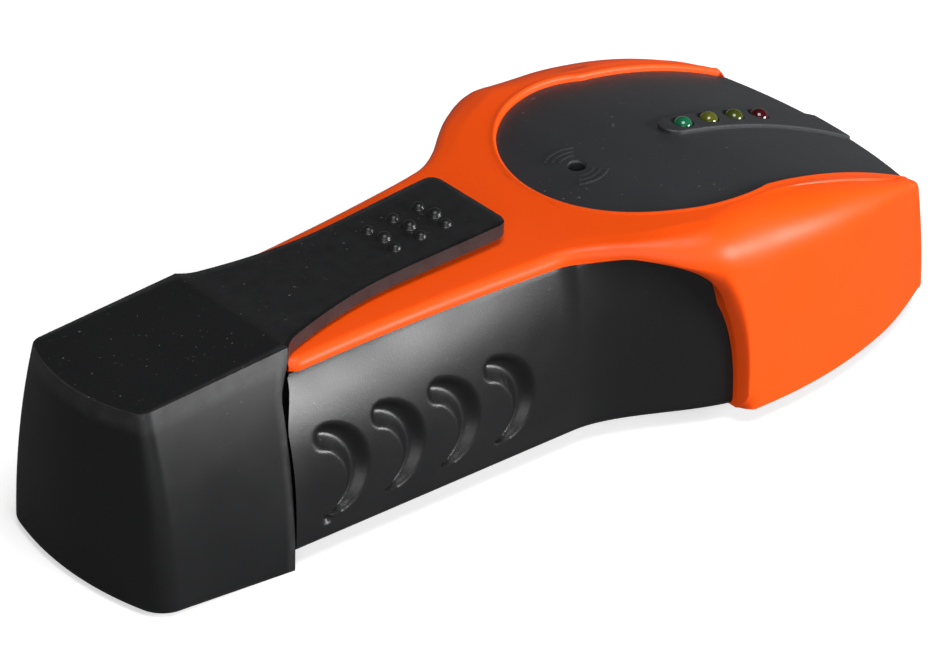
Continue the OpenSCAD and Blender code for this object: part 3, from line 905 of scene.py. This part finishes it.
tailCover = {
    "topHalf": 14.0,
    "bowTail": 3.4,
    "cornerLow": 5.0,
    "cornerTop": 2.6,
    "wall": 1.8,
    "cuts": 31,
    "bulge": 1.9,          # roundness of the sides, 1 would be flat
    "seamStep": 2.75,
}
pressTongue = {
    "thickness": 2.3,
    "endY": -1.0,
    "half": 9.2,
    "waist": 8.6,
    "shoulder": 24.0,
    "rows": 40,
    "bumpPitch": (3.3, 5.1),
    "bumpMiddle": (0, -14),
}


def coverOutline(rear, share, height):
    # plan of the cover at a height: from the seam to the middle of the rear
    # corner, then (rear) on to the middle of the tail
    rise = height / deckHeight(-60)
    half = mix(body["gripHalf"], tailCover["topHalf"], rise ** tailCover["bulge"])
    low = max(0, 1 - height / 1.6) ** 2
    side = half - mix(1.0, 0.6, rise) - low
    back = low - 80
    bow = (side ** 2 + tailCover["bowTail"] ** 2) / (2 * tailCover["bowTail"])
    r = mix(tailCover["cornerLow"], tailCover["cornerTop"], min(rise, 1))
    x, y = side - r, back + bow - math.sqrt((bow - r) ** 2 - (side - r) ** 2)
    turn = math.atan2(y - back - bow, x)
    if not rear and share < 0.75:
        return mix(half, side, share / 0.75), mix(seamAt(height), y, share / 0.75)
    if not rear or share < 0.3125:
        a = turn / 2 * (1 + share / 0.3125 if rear else (share - 0.75) / 0.25)
        return x + r * math.cos(a), y + r * math.sin(a)
    a = mix(turn, -math.pi / 2, (share - 0.3125) / 0.6875)
    return bow * math.cos(a), back + bow + bow * math.sin(a)


def coverPoint(a, b, height):
    # a across, b from tail (-1) to seam (1), height in millimetres
    sideX, sideY = coverOutline(False, (1 - b) / 2, height)
    tailX, tailY = coverOutline(True, 1 - abs(a), height)
    cornerX, cornerY = coverOutline(False, 1, height)
    pull = (1 - b) / 2
    x = a * sideX + pull * (math.copysign(tailX, a) - a * cornerX)
    return x, sideY + pull * (tailY - cornerY)


def seamAt(height):
    # the cover's front edge stands back below its top corner
    return body["seamY"] - tailCover["seamStep"] * smoothStep((35.7 - height) / 7.5)


def tongueHalf(y):
    along = y - body["seamY"]
    top, waist = tailCover["topHalf"], pressTongue["waist"]
    if along < pressTongue["shoulder"]:
        left = 0.2 * max(1 - along / 3, 0) ** 2 + 0.8 * (1 - along / pressTongue["shoulder"]) ** 1.8
        return mix(waist, top, left)
    t = (along - pressTongue["shoulder"]) / 24
    return mix(waist, pressTongue["half"], smoothStep(t))


def tipRound(y):
    # how far the tongue's side draws in at its rounded tip
    left = pressTongue["endY"] - y
    if left >= 1.9:
        return 0
    return 1.9 - math.sqrt(max(3.61 - (1.9 - left) ** 2, 0))


def buildCoverAndTongue():
    bm = bmesh.new()
    cuts = tailCover["cuts"]
    blockGrid(bm, cuts)
    layer = bm.verts.layers.float.new("across")
    front = [f for f in bm.faces if all(v.co.y > 0.999 for v in f.verts)]
    band = [f for f in front if all(v.co.z > 1 - 2.1 / (cuts + 1) for v in f.verts)]
    rest = [f for f in front if f not in band]
    for vert in bm.verts:
        a, b, c = vert.co
        vert[layer] = a
        level = round((c + 1) / 2 * (cuts + 1))
        y = mix(-80, body["seamY"], (b + 1) / 2)
        # the height depends on y and y on the height, so they are worked out twice
        for _ in range(2):
            deck = deckHeight(y)
            if level >= cuts:
                height = deck - (cuts + 1 - level) * pressTongue["thickness"]
            else:
                height = (deck - pressTongue["thickness"]) * (1 - math.cos(level / cuts * math.pi / 2))
            x, y = coverPoint(a, b, height)
        vert.co = (x, y, height)
    # hollow, in rings that go back from the seam
    seam = body["seamY"]
    bmesh.ops.inset_region(bm, faces=rest, thickness=tailCover["wall"], depth=0, use_even_offset=True)
    for back, shrink in ((seam - 8, 1), (seam - 20, 0.98), (-75.0, 0.88)):
        grown = bmesh.ops.extrude_face_region(bm, geom=rest)
        rest = [g for g in grown["geom"] if isinstance(g, bmesh.types.BMFace)]
        for vert in {v for f in rest for v in f.verts}:
            vert.co.x *= shrink
            vert.co.y = back

    # tongue, drawn out of the band above the hollow
    rows = pressTongue["rows"]
    for i in range(1, rows + 1):
        t = i / rows
        if t < 0.5:
            y = mix(seam, seam + pressTongue["shoulder"], (t / 0.5) ** 1.7)
        else:
            y = mix(seam + pressTongue["shoulder"], pressTongue["endY"], 1 - (1 - (t - 0.5) / 0.5) ** 1.35)
        grown = bmesh.ops.extrude_face_region(bm, geom=band)
        band = [g for g in grown["geom"] if isinstance(g, bmesh.types.BMFace)]
        half = tongueHalf(y) - tipRound(y)
        for vert in {v for f in band for v in f.verts}:
            isTop = vert.co.z > deckHeight(vert.co.y) - 1
            vert.co.x = vert[layer] * half
            vert.co.y = y
            vert.co.z = deckHeight(y) - (0 if isTop else pressTongue["thickness"])
    faceOutwards(bm)
    return bm


def buildBumps():
    bm = bmesh.new()
    pitchX, pitchY = pressTongue["bumpPitch"]
    middleX, middleY = pressTongue["bumpMiddle"]
    for i in (-1, 0, 1):
        for j in (-1, 0, 1):
            y = middleY + pitchY * j + (0.5 if i == 0 else 0)
            r = 1.2 if i == 0 else 1.0
            profile = [(0, 0.92 * r)]
            for a in range(12, 85, 12):
                turn = math.radians(a)
                profile.append((r * math.sin(turn), 0.92 * r * math.cos(turn) ** 0.9))
            profile += [(r * 1.03, 0.06), (r * 1.2, -0.02), (r * 1.2, -0.3), (0, -0.3)]
            turned(bm, profile, 24, (middleX + pitchX * i, y, deckHeight(y)))
    return bm


coverMoulding = addPiece("coverMoulding", buildCoverAndTongue(), [coverPlastic], 40)
rounded(coverMoulding, 0.6, 4, 45)
applyModifiers(coverMoulding)
addDetail(coverMoulding, buildBumps(), 42)
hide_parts("battery_cover", "press_tongue")
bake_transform(coverMoulding)
print("cover and tongue made")


# display panel

displayPanel = {
    "thickness": 1.8,
    "sink": 1.0,           # how far the panel lies below the rim
    "crown": 1.1,
    "ribHeight": 0.75,
    "ribRound": 2.5,       # half width at its round end
    "ribNose": 5.9,        # half width at the nose
    "ribStart": 41.6,
    "lampPlaces": [43.6, 49.2, 54.8, 60.4],
    "beeperY": 21.0,
}


def panelTop(y, x=0.0):
    far = math.hypot(x, min(y - topHousing["panelMidY"], 0)) / 22.5
    return roofHeight(y) - displayPanel["sink"] + displayPanel["crown"] * max(1 - far * far, 0)


def panelFront(x):
    return 73.4 + 3.0 * (1 - (x / 22) ** 2)


def panelSection(v):
    # outer point and matching point on the middle line
    r, mid, half = 22.95, topHousing["panelMidY"], 21.95
    lastTurn = 16.96       # where the round rear meets the straight side
    if v < 0.5:
        a = math.radians(mix(-90, lastTurn, v / 0.5))
        out = Vector((r * math.cos(a), mid + r * math.sin(a), 0))
        return out, Vector((0, mix(20.5, 41.0, (v / 0.5) ** 1.1), 0))
    t = (v - 0.5) / 0.5
    out = Vector((half, mix(mid + r * math.sin(math.radians(lastTurn)), panelFront(half), t), 0))
    return out, Vector((0, mix(41.0, panelFront(0), t), 0))


def panelPoint(u, v):
    out, mid = panelSection(v)
    if u > 0.97:
        drop = (u - 0.97) / 0.03
        return Vector((out.x, out.y, panelTop(out.y, out.x) - displayPanel["thickness"] * drop))
    share = u / 0.97
    p = mid.lerp(out, share)
    if v > 0.5:
        bend = (v - 0.5) / 0.5
        p.y += bend * (panelFront(p.x) - mix(panelFront(0), panelFront(21.95), share))
    return Vector((p.x, p.y, panelTop(p.y, p.x)))


def buildPanel():
    bm = bmesh.new()
    gridPatch(bm, 33, 90, panelPoint)
    mirrorHalf(bm)
    faceOutwards(bm)
    top = max(bm.faces, key=lambda f: f.calc_center_median().z)
    if top.normal.z < 0:
        bmesh.ops.reverse_faces(bm, faces=bm.faces[:])
    rim = [e for e in bm.edges if e.is_boundary]
    grown = bmesh.ops.extrude_edge_only(bm, edges=rim)
    fresh = [g for g in grown["geom"] if isinstance(g, bmesh.types.BMVert)]
    for vert in fresh:
        vert.co.z -= 0.6
    bmesh.ops.holes_fill(bm, edges=[e for e in bm.edges if e.is_boundary], sides=0)
    faceOutwards(bm)
    return bm


def buildRib():
    bm = bmesh.new()
    bmesh.ops.create_circle(bm, segments=40, radius=displayPanel["ribRound"])
    bmesh.ops.translate(bm, vec=(0, displayPanel["ribStart"], 0), verts=bm.verts[:])
    half = displayPanel["ribNose"]
    for x in (-half, -half / 2, half / 2, half, 0):
        bm.verts.new((x, panelFront(x) - 0.35, 0))
    bmesh.ops.convex_hull(bm, input=bm.verts[:])
    bmesh.ops.dissolve_limit(bm, angle_limit=0.01, verts=bm.verts[:], edges=bm.edges[:])
    loose = [e for e in bm.edges if not e.link_faces]
    bmesh.ops.delete(bm, geom=loose, context="EDGES")
    spare = bm.faces[1:]
    if spare:
        bmesh.ops.delete(bm, geom=spare, context="FACES_ONLY")
    grown = bmesh.ops.extrude_face_region(bm, geom=bm.faces[:], use_keep_orig=True)
    raised = [g for g in grown["geom"] if isinstance(g, bmesh.types.BMVert)]
    bmesh.ops.translate(bm, vec=(0, 0, displayPanel["ribHeight"]), verts=raised)
    faceOutwards(bm)
    for i in range(1, 24):
        y = mix(displayPanel["ribStart"] - 2, 76, i / 24)
        whole = bm.verts[:] + bm.edges[:] + bm.faces[:]
        bmesh.ops.bisect_plane(bm, geom=whole, plane_co=(0, y, 0), plane_no=(0, 1, 0))
    for vert in bm.verts:
        isTop = vert.co.z > 0.1
        vert.co.z = panelTop(vert.co.y, vert.co.x) + (displayPanel["ribHeight"] if isTop else -0.9)
    return bm


def soundArcs():
    # three short curved ridges on each side of the beeper hole
    bm = bmesh.new()
    steps = 8
    for side in (0, 180):
        for r, spread in ((2.9, 32), (4.0, 34), (5.1, 36)):
            for i in range(steps):
                a0 = math.radians(side + mix(-spread, spread, i / steps))
                a1 = math.radians(side + mix(-spread, spread, (i + 1) / steps))
                verts = bmesh.ops.create_cube(bm, size=1)["verts"]
                length = r * (a1 - a0)
                bmesh.ops.scale(bm, vec=(0.32, length * 1.06, 0.24), verts=verts)
                middle = (a0 + a1) / 2
                bmesh.ops.rotate(bm, matrix=Matrix.Rotation(middle, 3, "Z"), verts=verts)
                x, y = r * math.cos(middle), displayPanel["beeperY"] + r * math.sin(middle)
                bmesh.ops.translate(bm, vec=(x, y, panelTop(y) + 0.02), verts=verts)
    return bm


def panelHole(bm, y, mouth, bore, high, low):
    # mouth and bore are radii, high and low the heights where the chamfer between them starts and ends
    top = panelTop(y)
    profile = [(0, 44), (mouth, 44), (mouth, top + high), (bore, top + low), (bore, 30), (0, 30)]
    turned(bm, profile, 40, (0, y, 0))


def panelHoles():
    bm = bmesh.new()
    for y in displayPanel["lampPlaces"]:
        panelHole(bm, y, 1.9, 1.7, 0.55, 0.2)
    panelHole(bm, displayPanel["beeperY"], 1.7, 1.4, 0.1, -0.25)
    return bm


panelPlate = addPiece("panelPlate", buildPanel(), [panelPlastic], 45)
rib = addPiece("ribPart", buildRib(), [panelPlastic], 45)
rounded(rib, 0.28, 3, 50)
applyModifiers(rib)
combine(panelPlate, rib, "UNION")
combine(panelPlate, addPiece("cutter", panelHoles(), []), "DIFFERENCE")
addDetail(panelPlate, soundArcs(), 30)
stand(panelPlate, "housing", "panel_plastic", "display_panel")
print("panel made")


# lamps

lamps = {
    "led_green": (0, (0.01, 0.2, 0.09), "green_lens"),
    "led_yellow": (1, (0.22, 0.23, 0.015), "yellow_lens"),
    "led_lime": (2, (0.19, 0.24, 0.02), "lime_lens"),
    "led_red": (3, (0.19, 0.008, 0.018), "red_lens"),
}
lampShape = {
    "flange": (1.9, 1.0),  # radius and height
    "radius": 1.65,
    "shoulder": 3.6,       # height where the dome starts
    "dome": 1.6,
    "height": 5.2,
    "proud": 1.6,          # how far the dome stands over the panel
}


def lampProfile():
    wide, foot = lampShape["flange"]
    r, start = lampShape["radius"], lampShape["shoulder"]
    profile = [(0, 0), (wide, 0), (wide, foot), (r, foot), (r, start)]
    for a in range(10, 90, 10):
        turn = math.radians(a)
        profile.append((r * math.cos(turn), start + lampShape["dome"] * math.sin(turn)))
    return profile + [(0, lampShape["height"])]


for nodeName, (index, colour, slotName) in lamps.items():
    y = displayPanel["lampPlaces"][index]
    bm = bmesh.new()
    turned(bm, lampProfile(), 40, (0, y, panelTop(y) + lampShape["proud"] - lampShape["height"]))
    epoxy = lensMaterial(slotName.replace("_lens", "Epoxy"), colour)
    lens = addPiece(slotName.replace("_lens", "Lens"), bm, [epoxy], 50)
    stand(lens, "housing", slotName, nodeName)
print("lamps made")


# materials of the pieces that keep their own shape

innerFinishes = {
    "led_leads": tinnedMetal, "switch_plunger": palePlastic, "switch_stem": darkPlastic,
    "switch_body": tinnedMetal, "circuit_board": boardGreen, "board_screws": tinnedMetal,
    "housing_screws": screwSteel, "buzzer": darkPlastic, "controller_chip": darkPlastic,
    "chip_legs": tinnedMetal, "capacitors": blueSleeve, "resistors": tanCeramic,
    "regulator": darkPlastic, "header_pins": goldPlate, "sensor_board": boardGreen,
    "sensor_plates": copperFoil, "battery_terminals": tinnedMetal, "snap_connector": darkPlastic,
    "snap_contacts": tinnedMetal, "positive_wire": redWire, "negative_wire": blackWire,
    "battery_pad": foamPad, "rating_label": labelFilm,
}
batteryWrap = finish(
    "batteryWrap", (0.03, 0.032, 0.04), (0.022, 0.024, 0.03), (0.22, 0.3), 2600.0, 0.12,
    wear=((0.5, 0.5, 0.52), 0.3))
innerFinishes["battery_case"] = batteryWrap
for nodeName, material in innerFinishes.items():
    for holder in nodes[nodeName].material_slots:
        holder.material = material
print("inner pieces finished")


# floor, light and camera

studio = {
    "floorSize": 6.0,
    "floorLevel": -0.2,
    "floorGlow": 0.55,
    "floorBounce": 0.16,   # what the floor gives back to the parts
    "horizon": 0.35,
    "ceiling": 0.05,
    "aim": (0, 0, 0.02),
    # place, size and power, in metres and watts
    "lights": {
        "keyLight": ((0.35, -0.15, 1.15), (0.6, 0.6), 8.6),
        "sideLight": ((0.82, 0.6, 0.24), (0.5, 0.3), 12.0),
        "fillLight": ((0.95, -0.75, 0.35), (1.0, 0.8), 6.0),
    },
}


def addFloor():
    # pale to the camera, dull to every other ray
    bm = bmesh.new()
    bmesh.ops.create_grid(bm, x_segments=8, y_segments=8, size=studio["floorSize"] * 500)
    bmesh.ops.translate(bm, vec=(0, 0, studio["floorLevel"]), verts=bm.verts[:])
    material = finish("paleFloor", (0.8, 0.8, 0.8), (0.79, 0.79, 0.79), (0.8, 0.9), 300.0, 0.02,
                      Specular_IOR_Level=0.1)
    tree = material.node_tree
    link = tree.links.new
    glow = node(tree, "ShaderNodeEmission")
    glow.inputs["Strength"].default_value = studio["floorGlow"]
    lit = node(tree, "ShaderNodeAddShader")
    link(tree.nodes["Principled BSDF"].outputs[0], lit.inputs[0])
    link(glow.outputs[0], lit.inputs[1])
    dull = node(tree, "ShaderNodeBsdfDiffuse", in_0=(*[studio["floorBounce"]] * 3, 1))
    path = node(tree, "ShaderNodeLightPath")
    choose = node(tree, "ShaderNodeMixShader")
    link(path.outputs["Is Camera Ray"], choose.inputs[0])
    link(dull.outputs[0], choose.inputs[1])
    link(lit.outputs[0], choose.inputs[2])
    link(choose.outputs[0], tree.nodes["Material Output"].inputs["Surface"])
    floor = addPiece("paleFloor", bm, [material])


def addWorld():
    world = bpy.data.worlds.new("paleRoom")
    world.use_nodes = True
    tree = world.node_tree
    link = tree.links.new
    place = node(tree, "ShaderNodeTexCoord")
    parts = node(tree, "ShaderNodeSeparateXYZ")
    link(place.outputs["Generated"], parts.inputs[0])
    rise = node(tree, "ShaderNodeMapRange", interpolation_type="SMOOTHSTEP", in_1=0.08, in_2=0.34)
    rise.inputs["To Min"].default_value = studio["horizon"]
    rise.inputs["To Max"].default_value = studio["ceiling"]
    link(parts.outputs["Z"], rise.inputs["Value"])
    link(rise.outputs["Result"], tree.nodes["Background"].inputs["Strength"])
    tree.nodes["Background"].inputs["Color"].default_value = (1, 1, 1, 1)
    bpy.context.scene.world = world


def softLight(name, place, size, power):
    light = bpy.data.lights.new(name, "AREA")
    light.shape = "RECTANGLE"
    light.size, light.size_y = size
    light.energy = power
    holder = bpy.data.objects.new(name, light)
    bpy.context.collection.objects.link(holder)
    holder.location = place
    facing = Vector(studio["aim"]) - Vector(place)
    holder.rotation_euler = facing.to_track_quat("-Z", "Y").to_euler()


def addCamera():
    camera = bpy.data.cameras.new("camera")
    camera.lens = 258.15
    camera.sensor_width = 36
    camera.clip_start, camera.clip_end = 0.05, 20
    holder = bpy.data.objects.new("camera", camera)
    bpy.context.collection.objects.link(holder)
    right = Vector((0.6491, 0.7600, 0.0314))
    up = Vector((-0.4100, 0.3149, 0.8560))
    back = Vector((0.6407, -0.5685, 0.5160))
    turn = Matrix((right, up, back)).transposed()
    holder.location = (0.68164, -0.60499, 0.56220)
    holder.rotation_euler = turn.to_euler()
    bpy.context.scene.camera = holder


addFloor()
addWorld()
for lightName, (place, size, power) in studio["lights"].items():
    softLight(lightName, place, size, power)
addCamera()
print("studio made")
